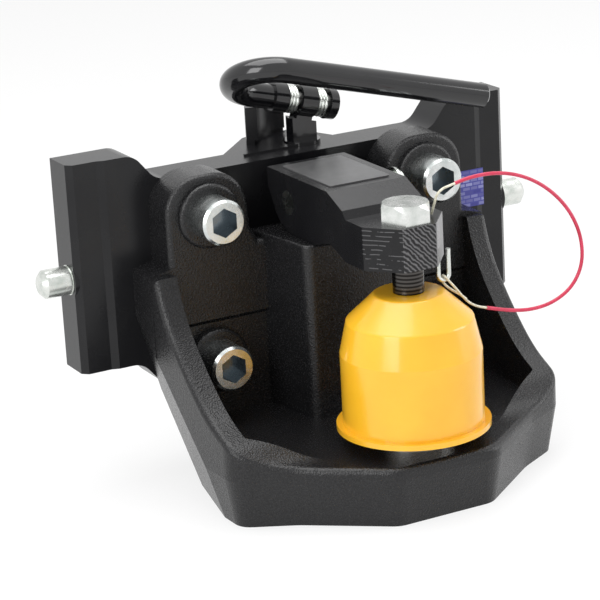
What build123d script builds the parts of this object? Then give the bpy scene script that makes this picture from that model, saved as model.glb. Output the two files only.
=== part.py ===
from build123d import *
import math
import os

# Tractor ball hitch on a height-adjustable slide, in millimetres.
# X runs across the tractor, Y back towards it and Z up.
# The origin lies on the axis of the locking pins, midway between the guide bars.

# Slide plate
GUIDE_WIDTH = 329.0
GUIDE_T = 28.0
GUIDE_TOP = 79.0
GUIDE_BOTTOM = -62.0
GUIDE_STRIP = 20.0
GUIDE_BEVEL = 5.0
GUIDE_CHAMFER = 4.0
WEB_TOP = 60.5
WEB_BOTTOM = -80.0
WEB_SHOULDER_TOP_X = 104.0
WEB_SHOULDER_BOTTOM_X = 108.0
SHOULDER_RUN = 15.0
SHOULDER_R = 14.0
PLATE_PROUD = 2.0

# Locking pins and their drive
PIN_D = 20.0
PIN_REACH = 20.0
PIN_TIP_D = 19.0
PIN_RELIEF = 1.0
PIN_TIP_CHAMFER = 3.0
PIN_BUSH_D = 26.0
PIN_BUSH_LENGTH = 6.0
RUNNING_GAP = 0.04
GEAR_MODULE = 1.75
GEAR_TEETH = 12
GEAR_PRESSURE_ANGLE = 25.0
GEAR_BACKLASH = 0.25
RACK_HEIGHT = 16.0
RACK_BAR = 7.5
RACK_YOKE = 12.0
PINION_FACE = 18.0
PINION_HUB_D = 18.0
PINION_HUB_LENGTH = 5.5
PINION_PIN_D = 4.0
CHAMBER_GAP = 1.5
HOUSING_WALL = 4.5

# Lever shaft and its seat on the slide
SHAFT_X = 18.0
SHAFT_BACK = 24.0
SHAFT_D = 20.0
SHAFT_JOURNAL_D = 12.0
SHAFT_JOURNAL_LENGTH = 12.0
SHAFT_FOOT_D = 25.0
SHAFT_FOOT_H = 2.5
POST_WIDTH = 18.0
POST_DEPTH = 10.0
COLUMN_WALL = 16.0
LUG_R = 30.0
LUG_WALL = 8.0
LUG_TOP = 87.5
LUG_GROOVE = 2.5
PAD_H = 1.5
PAD_FRONT = 14.0
PAD_REACH = 50.0

# Handle
HUB_HEIGHT = 89.5
HANDLE_SLOPE = 15.0
HUB_D = 22.0
HUB_LENGTH = 12.0
HUB_SHIFT = 3.0
COLLAR_D = 21.0
BAR_D = 17.0
BAR_FORWARD = 42.0
BAR_ABOVE = 24.0
BAR_END = 118.0
BAR_BEND = -38.0
BAR_END_CHAMFER = 1.5
HINGE_PIN_D = 12.0
LEFT_COLLAR_LENGTH = 10.0
RIGHT_COLLAR_LENGTH = 6.0
COLLAR_PLAY = 0.3
SPRING_WIRE = 2.4
SPRING_TURNS = 3
SPRING_GAP = 1.2

# Ball bracket
BOLT_X = 81.5
BOLT_UPPER_Z = 38.5
BOLT_LOWER_Z = -60.0
WALL_T = 28.0
LOWER_RECESS = 3.0
CREASE_Z = -32.0
BOSS_R = 27.0
BOSS_PROUD = 4.0
LEDGE_Z = 19.0
LEDGE_HALF = 46.0
EAR_OUTER_X = 111.0
CHEEK_OUTER_X = 125.5
CHEEK_T = 15.0
CHEEK_TOP_Z = 4.0
SHELF_TOP = -99.0
SHELF_BOTTOM = -139.0
SHELF_NOSE_FRONT = -185.0
SHELF_NOSE_HALF = 36.0
SHELF_NOSE_R = 20.0
SHELF_WAIST_X = 88.0
SHELF_WAIST_FRONT = -145.0
SHELF_WAIST_R = 60.0
SHELF_CORNER_X = 122.5
SHELF_CORNER_FRONT = -126.0
SHELF_CORNER_R = 18.0
SHELF_DRAFT = 10.0
RIDGE_R = 4.0
RIDGE_BACK = -36.0
RIDGE_DROPS = [(-47.0, -22.0), (-62.5, -42.0), (-78.0, -57.5), (-104.5, -77.0), (-125.0, -87.0)]
RIDGE_END = -152.0
HEEL_Z = -82.0
HEEL_FRONT = -43.0
FLANK_BACK = (-30.0, -50.0)
FLANK_FRONT = (-100.0, -119.0)
FLANK_LOW = (108.0, -24.0, -112.0)
PILLAR_FRONT = -75.0
PILLAR_FRONT_HALF = 35.0
PILLAR_BACK_HALF = 44.0
CAST_R = 7.0

# Bracket bolts
BOLT_D = 20.0
BOLT_HEAD_D = 30.0
BOLT_HEAD_H = 20.0
BOLT_SOCKET = 17.0
BOLT_SOCKET_DEPTH = 11.0
BOLT_HOLE_D = 22.0
BOLT_GRIP = 24.0

# Ball
BALL_D = 80.0
BALL_FRONT = -143.0
BALL_TOP = -3.3
NECK_D = 50.0
NECK_FILLET = 6.0
STUD_D = 30.0
STUD_RECESS_D = 60.0
STUD_RECESS_H = 28.0
WASHER_D = 56.0
WASHER_H = 5.0
NUT_AF = 46.0
NUT_H = 18.0
STUD_PROUD = 2.5

# Cap over the ball
CAP_WALL = 2.5
CAP_GAP = 2.8
CAP_TOP_INSET = 22.8
CAP_CONE_INSET = 4.8
CAP_FLANGE_W = 4.1
CAP_FLANGE_H = 3.5
CAP_CONE_DROP = 17.0
CAP_SHOULDER_DROP = 38.0
CAP_REST = 0.3
CAP_SKIRT = 5.4

# Hold-down arm
ARM_HALF = 29.0
ARM_TOP = 59.0
ARM_REAR = -14.0
ARM_FLAT_END = -95.0
ARM_SLOPE_END = -114.0
ARM_SLOPE_LOW = 50.5
NOSE_LAND = 45.5
NOSE_STEP = 4.0
NOSE_BOTTOM = 17.5
NOSE_FACET_START = -139.0
NOSE_FRONT = -160.0
NOSE_FRONT_HALF = 12.0
ARM_ARCH_Z = 25.0
ARM_ARCH_BACK = -96.0
ARM_ARCH_FRONT = -116.0
ARM_SEAT_GAP = 0.3
HINGE_BACK = -41.0
HINGE_Z = 40.0
HINGE_D = 16.0
HINGE_FREE_END = 56.5
HINGE_GROOVE = 3.0
TONGUE_HALF = 12.0
TONGUE_R = 13.0
TONGUE_GAP = 0.4
TAIL_R = 20.2
TAIL_CUT_ANGLE = 60.0
TYPE_PLATE_W = 44.0
TYPE_PLATE_L = 66.0
TYPE_PLATE_T = 0.8

# Hold-down bolt
HOLD_BOLT_AF = 30.0
HOLD_BOLT_HEAD_H = 12.5
HOLD_BOLT_D = 20.0

# Staple and lanyard
STAPLE_WIRE = 3.0
STAPLE_INSET = 5.5
STAPLE_SPAN = 7.5
STAPLE_FRONT = -147.0
STAPLE_DROP = 14.0
STAPLE_SEAT = 6.0
LANYARD_D = 2.4
LANYARD_BARE_D = 1.6
LANYARD_FRONT = -150.0

STAPLE_X = ARM_HALF - STAPLE_INSET
FRONT = -GUIDE_T / 2
FACE = FRONT - PLATE_PROUD


def from_face(distance):
    """Y of a place given by its distance behind the guide bars' front."""
    return FRONT + distance


def box_between(low, high):
    """A box between two opposite corners."""
    size = [high[i] - low[i] for i in range(3)]
    middle = [(high[i] + low[i]) / 2 for i in range(3)]
    return Pos(*middle) * Box(*size)


def upright_prism(points, y_low, y_high):
    """A prism along Y over an outline given in X and Z."""
    outline = Plane.XZ * make_face(Polyline(*points, close=True))
    return Pos(0, y_high, 0) * extrude(outline, y_high - y_low, dir=(0, -1, 0))


def side_prism(points, x_low, x_high):
    """A prism along X over an outline given in Y and Z."""
    outline = Plane.YZ * make_face(Polyline(*points, close=True))
    return Pos(x_low, 0, 0) * extrude(outline, x_high - x_low, dir=(1, 0, 0))


def plan_prism(points, z_low, z_high):
    """A prism along Z over an outline given in X and Y."""
    outline = make_face(Polyline(*points, close=True))
    return Pos(0, 0, z_low) * extrude(outline, z_high - z_low, dir=(0, 0, 1))


def mirrored(points):
    """An outline's right half, continued by its mirror image across X = 0."""
    return points + [(-x, other) for x, other in reversed(points)]


def rod(start, direction, diameter, length):
    """A round bar from a point along a direction."""
    plane = Plane(origin=start, z_dir=direction)
    return plane * Cylinder(diameter / 2, length, align=(Align.CENTER, Align.CENTER, Align.MIN))


def hexagon_prism(across_flats, height):
    """A hexagon prism standing on its base."""
    corner = across_flats / math.sqrt(3)
    return extrude(RegularPolygon(corner, 6), height)


# Locking-pin drive: one pinion between two racks, so the pins move opposite ways.
PITCH_R = GEAR_MODULE * GEAR_TEETH / 2
PITCH = math.pi * GEAR_MODULE
ADDENDUM = GEAR_MODULE
DEDENDUM = 1.25 * GEAR_MODULE
SHAFT_Y = from_face(SHAFT_BACK)
RACK_FRONT_Y = SHAFT_Y - PITCH_R
RACK_REAR_Y = SHAFT_Y + PITCH_R
PIN_TIP_X = GUIDE_WIDTH / 2 + PIN_REACH
RACK_TEETH_EACH_SIDE = 2
TRAVEL_TEETH = math.ceil(PIN_REACH / PITCH)
CHAMBER_TOP = RACK_HEIGHT / 2 + CHAMBER_GAP
CHAMBER_FLOOR = -PINION_FACE / 2 - PINION_HUB_LENGTH - CHAMBER_GAP
MESH_REACH = (RACK_TEETH_EACH_SIDE + 0.5) * PITCH
LEFT_YOKE_X = SHAFT_X - MESH_REACH - TRAVEL_TEETH * PITCH - 2 * RACK_YOKE - PIN_REACH
RIGHT_ROD_X = SHAFT_X + MESH_REACH + TRAVEL_TEETH * PITCH + RACK_YOKE
CHAMBER_LEFT = LEFT_YOKE_X - RACK_YOKE - CHAMBER_GAP
CHAMBER_RIGHT = RIGHT_ROD_X + CHAMBER_GAP
RACK_BACK_REAR_Y = RACK_REAR_Y + DEDENDUM + RACK_BAR
RACK_BACK_FRONT_Y = RACK_FRONT_Y - DEDENDUM - RACK_BAR
CHAMBER_BACK = RACK_BACK_REAR_Y + CHAMBER_GAP
HOUSING_BACK = CHAMBER_BACK + HOUSING_WALL


def involute_flank(base_r, radius):
    """Polar angle of an involute at a radius."""
    cosine = min(1.0, base_r / radius)
    pressure = math.acos(cosine)
    return math.tan(pressure) - pressure


def pinion_solid():
    """Spur pinion with involute teeth, one of them pointing along -Y."""
    base_r = PITCH_R * math.cos(math.radians(GEAR_PRESSURE_ANGLE))
    tip_r = PITCH_R + ADDENDUM
    root_r = PITCH_R - DEDENDUM
    half_tooth = (PITCH / 2 - GEAR_BACKLASH) / 2 / PITCH_R + involute_flank(base_r, PITCH_R)
    radii = [base_r + (tip_r - base_r) * step / 5 for step in range(6)]
    points = []
    for tooth in range(GEAR_TEETH):
        middle = -math.pi / 2 + tooth * 2 * math.pi / GEAR_TEETH
        flank = [(r, half_tooth - involute_flank(base_r, r)) for r in radii]
        ramp = [(root_r, half_tooth)] + flank
        for r, half in ramp:
            points.append((r * math.cos(middle - half), r * math.sin(middle - half)))
        for r, half in reversed(ramp):
            points.append((r * math.cos(middle + half), r * math.sin(middle + half)))
    teeth = plan_prism(points, -PINION_FACE / 2, PINION_FACE / 2)
    hub = Pos(0, 0, -PINION_FACE / 2 - PINION_HUB_LENGTH) * Cylinder(
        PINION_HUB_D / 2, PINION_HUB_LENGTH, align=(Align.CENTER, Align.CENTER, Align.MIN)
    )
    bore = Cylinder(SHAFT_JOURNAL_D / 2, 4 * PINION_FACE)
    return Pos(SHAFT_X, SHAFT_Y, 0) * (teeth + hub - bore)


def rack_solid(first, last, pitch_y, towards, x_low, x_high):
    """Straight rack: teeth on a bar, pointing along Y by the sign of towards."""
    slope = math.tan(math.radians(GEAR_PRESSURE_ANGLE))
    half_pitch_tooth = (PITCH / 2 - GEAR_BACKLASH) / 2
    root = pitch_y - towards * DEDENDUM
    tip = pitch_y + towards * ADDENDUM * 0.95
    points = [(x_low, root)]
    for tooth in range(first, last + 1):
        middle = SHAFT_X + (tooth + 0.5) * PITCH
        foot = half_pitch_tooth + DEDENDUM * slope
        crest = half_pitch_tooth - ADDENDUM * 0.95 * slope
        points += [(middle - foot, root), (middle - crest, tip)]
        points += [(middle + crest, tip), (middle + foot, root)]
    points += [(x_high, root), (x_high, root - towards * RACK_BAR), (x_low, root - towards * RACK_BAR)]
    return plan_prism(points, -RACK_HEIGHT / 2, RACK_HEIGHT / 2)


def locking_pin(inner_x):
    """Round locking pin from its chamfered tip to its inner end, drawn on the right side."""
    bar = rod((inner_x, 0, 0), (1, 0, 0), PIN_D, PIN_TIP_X - PIN_REACH - inner_x)
    tip = rod((PIN_TIP_X - PIN_REACH - 1, 0, 0), (1, 0, 0), PIN_TIP_D, PIN_REACH + 1)
    rim = tip.edges().filter_by(GeomType.CIRCLE).sort_by(Axis.X)[-1]
    relief = rod((PIN_TIP_X - PIN_REACH, 0, 0), (1, 0, 0), PIN_D, PIN_RELIEF)
    relief = relief - rod((PIN_TIP_X - PIN_REACH, 0, 0), (1, 0, 0), PIN_TIP_D - PIN_RELIEF, PIN_RELIEF)
    return bar + (chamfer(rim, PIN_TIP_CHAMFER) - relief)


def right_locking_pin():
    last = RACK_TEETH_EACH_SIDE + TRAVEL_TEETH
    bar = rack_solid(
        -RACK_TEETH_EACH_SIDE, last - 1, RACK_FRONT_Y, 1, SHAFT_X - MESH_REACH, RIGHT_ROD_X
    )
    return locking_pin(RIGHT_ROD_X - RACK_YOKE / 2) + bar


def left_locking_pin():
    first = -RACK_TEETH_EACH_SIDE - TRAVEL_TEETH
    bar = rack_solid(
        first, RACK_TEETH_EACH_SIDE - 1, RACK_REAR_Y, -1, LEFT_YOKE_X - RACK_YOKE / 2, SHAFT_X + MESH_REACH
    )
    yoke = box_between(
        (LEFT_YOKE_X - RACK_YOKE, -PIN_D / 2, -RACK_HEIGHT / 2),
        (LEFT_YOKE_X, RACK_BACK_REAR_Y, RACK_HEIGHT / 2),
    )
    return mirror(locking_pin(-LEFT_YOKE_X + RACK_YOKE / 2), Plane.YZ) + yoke + bar


# Slide plate
def slide_outline():
    half = GUIDE_WIDTH / 2
    top_x = WEB_SHOULDER_TOP_X
    low_x = WEB_SHOULDER_BOTTOM_X
    right = [
        (top_x, WEB_TOP),
        (top_x + SHOULDER_RUN, GUIDE_TOP),
        (half, GUIDE_TOP),
        (half, GUIDE_BOTTOM),
        (low_x + SHOULDER_RUN, GUIDE_BOTTOM),
        (low_x, WEB_BOTTOM),
    ]
    face = make_face(Polyline(*mirrored(right), close=True))
    soft = [v for v in face.vertices() if abs(v.X) < half - 1]
    return fillet(soft, SHOULDER_R)


def slide_plate():
    half = GUIDE_WIDTH / 2
    outline = Plane.XZ * slide_outline()
    body = Pos(0, -FRONT, 0) * extrude(outline, GUIDE_T, dir=(0, -1, 0))
    corners = [e for e in body.edges().filter_by(Axis.Z) if abs(e.center().X) > half - 1]
    corners = [e for e in corners if e.center().Y < 0]
    body = chamfer(corners, GUIDE_CHAMFER)
    tall = Pos(0, FRONT, 0) * extrude(outline, PLATE_PROUD, dir=(0, -1, 0))
    raised_half = half - GUIDE_STRIP
    raised = plan_prism(
        mirrored([(raised_half, FRONT), (raised_half - GUIDE_BEVEL, FACE)]), WEB_BOTTOM, GUIDE_TOP
    )
    body = body + (tall & raised)

    # Rear housing of the drive, and the column that carries the lever shaft
    housing = box_between(
        (CHAMBER_LEFT - HOUSING_WALL, -FRONT, CHAMBER_FLOOR - HOUSING_WALL),
        (CHAMBER_RIGHT + HOUSING_WALL, HOUSING_BACK, CHAMBER_TOP + HOUSING_WALL),
    )
    housing = fillet(housing.edges().filter_by(Axis.Y), HOUSING_WALL)
    reach = SHAFT_Y + LUG_R + LUG_WALL
    column_half = SHAFT_D / 2 + COLUMN_WALL
    column = plan_prism(
        [
            (SHAFT_X - column_half - COLUMN_WALL * 2, -FRONT),
            (SHAFT_X - column_half, reach),
            (SHAFT_X + column_half / 2, reach),
            (SHAFT_X + column_half, -FRONT),
        ],
        CHAMBER_FLOOR - HOUSING_WALL,
        WEB_TOP,
    )
    column = fillet([e for e in column.edges().filter_by(Axis.Z) if e.center().Y > reach - 1], CAST_R)
    body = body + housing + column

    # Rear lug with its round pocket, and the machined pad in front of it
    seat = Pos(SHAFT_X, SHAFT_Y, WEB_TOP)
    ring = seat * Cylinder(
        LUG_R + LUG_WALL, LUG_TOP - WEB_TOP, align=(Align.CENTER, Align.CENTER, Align.MIN)
    )
    pocket = seat * Cylinder(LUG_R, LUG_TOP, align=(Align.CENTER, Align.CENTER, Align.MIN))
    groove = Pos(0, 0, PAD_H + LUG_GROOVE / 2) * seat * Cylinder(LUG_R + LUG_GROOVE, LUG_GROOVE)
    wedge = plan_prism(
        [
            (SHAFT_X, SHAFT_Y),
            (SHAFT_X - 3 * LUG_R, SHAFT_Y + LUG_R),
            (SHAFT_X - LUG_R, SHAFT_Y + 3 * LUG_R),
            (SHAFT_X + LUG_R / 4, SHAFT_Y + 3 * LUG_R),
        ],
        WEB_TOP,
        LUG_TOP,
    )
    lug = (ring & wedge) - pocket - groove
    pad = plan_prism(
        [
            (SHAFT_X - PAD_REACH, from_face(PAD_FRONT)),
            (SHAFT_X - LUG_R, SHAFT_Y + LUG_R - LUG_WALL),
            (SHAFT_X - LUG_R / 2, SHAFT_Y + LUG_R),
            (SHAFT_X, SHAFT_Y + LUG_R),
            (SHAFT_X, from_face(PAD_FRONT)),
        ],
        WEB_TOP,
        WEB_TOP + PAD_H,
    ) & seat * Cylinder(PAD_REACH, LUG_TOP)
    shaft_relief = seat * Cylinder(SHAFT_FOOT_D / 2 + 1, 4 * PAD_H)
    body = body + lug + (pad - shaft_relief)

    # Drive chamber, milled from the front and closed by the bracket
    chamber = box_between(
        (CHAMBER_LEFT, FACE - 1, CHAMBER_FLOOR), (CHAMBER_RIGHT, CHAMBER_BACK, CHAMBER_TOP)
    )
    bores = rod((-half - 1, 0, 0), (1, 0, 0), PIN_D + 2 * RUNNING_GAP, GUIDE_WIDTH + 2)
    seats = [
        rod((side * (half + 1), 0, 0), (-side, 0, 0), PIN_BUSH_D, PIN_BUSH_LENGTH + 1) for side in (1, -1)
    ]
    shaft_bore = rod((SHAFT_X, SHAFT_Y, 0), (0, 0, 1), SHAFT_D + 2 * RUNNING_GAP, LUG_TOP)
    journal_bore = rod(
        (SHAFT_X, SHAFT_Y, 0), (0, 0, -1), SHAFT_JOURNAL_D + 2 * RUNNING_GAP, 2 * GUIDE_TOP
    )
    body = body - chamber - bores - seats - shaft_bore - journal_bore
    for x, z in bolt_places():
        body = body - rod((x, FACE - 1, z), (0, 1, 0), BOLT_D + 2 * RUNNING_GAP, GUIDE_T + PLATE_PROUD + 2)
    return body


def bolt_places():
    """The four bracket bolts in X and Z."""
    return [(side * BOLT_X, z) for side in (-1, 1) for z in (BOLT_UPPER_Z, BOLT_LOWER_Z)]


def pin_bushes():
    """Bush rings at the mouths of the pin bores."""
    half = GUIDE_WIDTH / 2
    rings = []
    for side in (-1, 1):
        ring = rod((side * half, 0, 0), (-side, 0, 0), PIN_BUSH_D - 2 * RUNNING_GAP, PIN_BUSH_LENGTH)
        rings.append(ring - rod((side * (half + 1), 0, 0), (-side, 0, 0), PIN_D + 2 * RUNNING_GAP, GUIDE_T))
    return rings


# Handle frame: the hub axis slopes down to the right, and the bar lies parallel to it.
SLOPE = math.radians(HANDLE_SLOPE)
HUB_POINT = Vector(SHAFT_X, SHAFT_Y, HUB_HEIGHT)
HUB_DIR = Vector(math.cos(SLOPE), 0, -math.sin(SLOPE))
TO_BAR = Vector(0, -BAR_FORWARD, BAR_ABOVE)
TO_BAR = TO_BAR - HUB_DIR * TO_BAR.dot(HUB_DIR)
HUB_LEFT = HUB_SHIFT - HUB_LENGTH / 2
HUB_RIGHT = HUB_SHIFT + HUB_LENGTH / 2
COIL_LENGTH = SPRING_TURNS * SPRING_WIRE * 1.04 + SPRING_WIRE
COIL_ROOM = COIL_LENGTH + 2 * COLLAR_PLAY
LEFT_COLLAR_END = HUB_LEFT - COIL_ROOM - LEFT_COLLAR_LENGTH
RIGHT_COLLAR_END = HUB_RIGHT + COIL_ROOM + RIGHT_COLLAR_LENGTH


def on_hub(distance):
    """A point of the hub axis."""
    return HUB_POINT + HUB_DIR * distance


def lever_shaft():
    foot_z = WEB_TOP + 2 * RUNNING_GAP
    base = (SHAFT_X, SHAFT_Y)
    shaft = rod((*base, CHAMBER_TOP), (0, 0, 1), SHAFT_D, WEB_TOP - CHAMBER_TOP + SHAFT_FOOT_H)
    foot = rod((*base, foot_z), (0, 0, 1), SHAFT_FOOT_D, SHAFT_FOOT_H)
    post = box_between(
        (SHAFT_X - POST_WIDTH / 2, SHAFT_Y - POST_DEPTH / 2, foot_z),
        (SHAFT_X + POST_WIDTH / 2, SHAFT_Y + POST_DEPTH / 2, HUB_HEIGHT),
    )
    hub = rod(on_hub(HUB_LEFT), HUB_DIR, HUB_D, HUB_LENGTH)
    beside = [
        rod(on_hub(HUB_LEFT), HUB_DIR * -1, HUB_D + 4, POST_WIDTH),
        rod(on_hub(HUB_RIGHT), HUB_DIR, HUB_D + 4, POST_WIDTH),
    ]
    journal_low = CHAMBER_FLOOR - SHAFT_JOURNAL_LENGTH
    journal = rod((*base, journal_low), (0, 0, 1), SHAFT_JOURNAL_D, CHAMBER_TOP - journal_low + 1)
    pin_hole = rod(on_hub(-BAR_END), HUB_DIR, HINGE_PIN_D + 2 * RUNNING_GAP, 2 * BAR_END)
    cross = Pos(*base, pinion_pin_z()) * Rot(0, 90, 0) * Cylinder(PINION_PIN_D / 2, 2 * PINION_HUB_D)
    body = shaft + foot + (post - beside) + hub + journal
    return body - pin_hole - cross


def pinion_pin_z():
    return -PINION_FACE / 2 - PINION_HUB_LENGTH / 2


def pinion():
    cross = Pos(SHAFT_X, SHAFT_Y, pinion_pin_z()) * Rot(0, 90, 0) * Cylinder(
        PINION_PIN_D / 2, 2 * PINION_HUB_D
    )
    return pinion_solid() - cross


def pinion_pin():
    return Pos(SHAFT_X, SHAFT_Y, pinion_pin_z()) * Rot(0, 90, 0) * Cylinder(
        PINION_PIN_D / 2, PINION_HUB_D
    )


def handle_bar():
    straight_end = on_hub(BAR_END) + TO_BAR
    bend_top = on_hub(BAR_BEND) + TO_BAR
    bend_left = on_hub(BAR_BEND - TO_BAR.length / 2) + TO_BAR * 0.5
    bend_low = on_hub(BAR_BEND)
    stub_end = on_hub(LEFT_COLLAR_END)
    path = Wire([
        Edge.make_line(straight_end, bend_top),
        Edge.make_three_point_arc(bend_top, bend_left, bend_low),
        Edge.make_line(bend_low, stub_end),
    ])
    section = Plane(origin=straight_end, z_dir=HUB_DIR * -1) * Circle(BAR_D / 2)
    bar = sweep(section, path=path)
    rim = bar.edges().filter_by(GeomType.CIRCLE).sort_by(Axis.X)[-1]
    bar = chamfer(rim, BAR_END_CHAMFER)
    seat = rod(stub_end, HUB_DIR * -1, HINGE_PIN_D, HINGE_PIN_D)
    return bar - seat


def handle_hinge_pin():
    start = on_hub(LEFT_COLLAR_END - HINGE_PIN_D)
    return rod(start, HUB_DIR, HINGE_PIN_D, RIGHT_COLLAR_END - LEFT_COLLAR_END + HINGE_PIN_D)


def collar(start, length):
    ring = rod(on_hub(start), HUB_DIR, COLLAR_D, length)
    return ring - rod(on_hub(start - 1), HUB_DIR, HINGE_PIN_D, length + 2)


def coil(start):
    """One half of the double torsion spring, round the hinge pin."""
    mean_r = HINGE_PIN_D / 2 + SPRING_GAP + SPRING_WIRE / 2
    pitch = SPRING_WIRE * 1.04
    wire = Helix(pitch, pitch * SPRING_TURNS, mean_r)
    section = Plane(origin=wire @ 0, z_dir=wire % 0) * Circle(SPRING_WIRE / 2)
    turns = sweep(section, path=wire)
    place = Plane(origin=on_hub(start + SPRING_WIRE / 2), z_dir=HUB_DIR)
    return place * turns


def handle_spring():
    return [coil(HUB_LEFT - COIL_ROOM + COLLAR_PLAY), coil(HUB_RIGHT + COLLAR_PLAY)]


# Ball bracket
def bracket_wall():
    """Back wall with rounded ears at the upper bolts and sides that narrow downwards."""
    foot = CHEEK_OUTER_X - (SHELF_TOP - SHELF_BOTTOM) * math.tan(math.radians(SHELF_DRAFT))
    ear_top = BOLT_UPPER_Z + BOSS_R
    ear_inner = BOLT_X - BOSS_R
    right = [
        (LEDGE_HALF, LEDGE_Z - CAST_R / 2),
        (ear_inner - CAST_R / 2, BOLT_UPPER_Z - BOSS_R / 2),
        (ear_inner, ear_top),
        (EAR_OUTER_X, ear_top),
        (EAR_OUTER_X, CHEEK_TOP_Z + CAST_R / 2),
        (CHEEK_OUTER_X, CHEEK_TOP_Z),
        (CHEEK_OUTER_X, SHELF_TOP),
        (foot, SHELF_BOTTOM),
    ]
    face = make_face(Polyline(*mirrored(right), close=True))
    soft = [v for v in face.vertices() if v.Y > ear_top - 1]
    face = fillet(soft, BOSS_R * 0.9)
    outline = Plane.XZ * face
    upper = Pos(0, FACE, 0) * extrude(outline, WALL_T, dir=(0, -1, 0))
    recess = side_prism(
        [
            (FACE - WALL_T - 1, CREASE_Z + 1),
            (FACE - WALL_T + LOWER_RECESS, CREASE_Z - LOWER_RECESS),
            (FACE - WALL_T + LOWER_RECESS, SHELF_TOP),
            (FACE - WALL_T - 1, SHELF_TOP),
        ],
        -CHEEK_OUTER_X + CHEEK_T,
        CHEEK_OUTER_X - CHEEK_T,
    )
    front = upper.faces().sort_by(Axis.Y)[0]
    high = [e for e in front.edges() if e.center().Z > CHEEK_TOP_Z + CAST_R]
    upper = fillet(high, CAST_R / 2)
    return upper - recess


def shelf_plan(inset):
    """Plan of the shelf's rim, drawn inwards by a wall's thickness."""
    rear = FACE - WALL_T + LOWER_RECESS + CHEEK_T
    right = [
        (SHELF_NOSE_HALF, from_face(SHELF_NOSE_FRONT)),
        (SHELF_WAIST_X, from_face(SHELF_WAIST_FRONT)),
        (SHELF_CORNER_X, from_face(SHELF_CORNER_FRONT)),
        (CHEEK_OUTER_X, rear),
    ]
    face = make_face(Polyline(*mirrored(right), close=True))
    rounds = [
        (SHELF_NOSE_FRONT, SHELF_NOSE_R),
        (SHELF_WAIST_FRONT, SHELF_WAIST_R),
        (SHELF_CORNER_FRONT, SHELF_CORNER_R),
    ]
    for front, radius in rounds:
        soft = [v for v in face.vertices() if abs(v.Y - from_face(front)) < 0.01]
        face = fillet(soft, radius)
    return offset(face, -inset) if inset else face


def bowl():
    """Shelf and cheeks in one: a drafted base and a rim cut along the ridge, hollowed to the floor."""
    drops = [(from_face(y), z) for y, z in RIDGE_DROPS]
    ridge_start = (from_face(RIDGE_BACK), CHEEK_TOP_Z)
    ridge_end = (from_face(RIDGE_END), SHELF_TOP)
    nose = from_face(SHELF_NOSE_FRONT) - 1
    kink = SHELF_TOP - 2 * RIDGE_R
    side = Plane.YZ * make_face(Wire([
        Edge.make_line((FACE, CHEEK_TOP_Z), ridge_start),
        Edge.make_spline([ridge_start] + drops + [ridge_end], tangents=[(-0.3, -1), (-1, 0)]),
        Edge.make_line(ridge_end, (nose, SHELF_TOP)),
        Edge.make_line((nose, SHELF_TOP), (nose, kink)),
        Edge.make_line((nose, kink), (FACE, kink)),
        Edge.make_line((FACE, kink), (FACE, CHEEK_TOP_Z)),
    ]))
    under_ridge = Pos(-CHEEK_OUTER_X, 0, 0) * extrude(side, 2 * CHEEK_OUTER_X, dir=(1, 0, 0))
    height = CHEEK_TOP_Z - SHELF_TOP
    walls = Pos(0, 0, kink) * extrude(shelf_plan(0), CHEEK_TOP_Z - kink) & under_ridge
    base = mirror(extrude(shelf_plan(0), kink - SHELF_BOTTOM, taper=SHELF_DRAFT), Plane.XY)
    block = walls + Pos(0, 0, kink) * base
    tops = [f for f in block.faces() if f.normal_at().Z > 0.2]
    walls = [f for f in block.faces() if abs(f.normal_at().Z) < 0.2 and f.center().Y < FACE - WALL_T]
    wall_edges = [e for f in walls for e in f.edges()]
    rim = [e for f in tops for e in f.edges() if any(e.is_same(w) for w in wall_edges)]
    block = fillet(rim, RIDGE_R)
    return block - Pos(0, 0, SHELF_TOP) * extrude(shelf_plan(CHEEK_T), height)


def flank_cut():
    """Space outside the slanted lower flank on the right."""
    back = Vector(CHEEK_OUTER_X, from_face(FLANK_BACK[0]), FLANK_BACK[1])
    front = Vector(SHELF_CORNER_X, from_face(FLANK_FRONT[0]), FLANK_FRONT[1])
    low = Vector(FLANK_LOW[0], from_face(FLANK_LOW[1]), FLANK_LOW[2])
    normal = (front - back).cross(low - back)
    plane = Plane(origin=back, x_dir=front - back, z_dir=normal)
    size = 4 * CHEEK_OUTER_X
    return plane * Box(size, size, CHEEK_OUTER_X, align=(Align.CENTER, Align.CENTER, Align.MIN))


def heel_cut():
    """Space behind the slanted heel under the wall."""
    return side_prism(
        [
            (FACE + 1, HEEL_Z),
            (FACE + 1, SHELF_BOTTOM - 1),
            (from_face(HEEL_FRONT), SHELF_BOTTOM - 1),
            (from_face(HEEL_FRONT), SHELF_BOTTOM),
            (FACE, HEEL_Z),
        ],
        -2 * CHEEK_OUTER_X,
        2 * CHEEK_OUTER_X,
    )


def pillar():
    """Pillar that carries the hold-down arm, with the tongue of its hinge."""
    rear = FACE - WALL_T / 2
    column = plan_prism(
        mirrored([(PILLAR_FRONT_HALF, from_face(PILLAR_FRONT)), (PILLAR_BACK_HALF, rear)]),
        SHELF_TOP - 1,
        LEDGE_Z,
    )
    front = [e for e in column.edges().filter_by(Axis.Z) if e.center().Y < rear - 1]
    column = fillet(front, CAST_R)
    crown = column.faces().sort_by(Axis.Z)[-1]
    column = fillet([e for e in crown.edges() if e.center().Y < rear - 1], 2.0)
    hinge_y = from_face(HINGE_BACK)
    tongue = box_between(
        (-TONGUE_HALF, hinge_y - TONGUE_R, LEDGE_Z - 1), (TONGUE_HALF, hinge_y + TONGUE_R, HINGE_Z)
    ) + rod((-TONGUE_HALF, hinge_y, HINGE_Z), (1, 0, 0), 2 * TONGUE_R, 2 * TONGUE_HALF)
    bore = rod((-ARM_HALF, hinge_y, HINGE_Z), (1, 0, 0), HINGE_D + 2 * RUNNING_GAP, 2 * ARM_HALF)
    return column + tongue - bore


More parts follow.
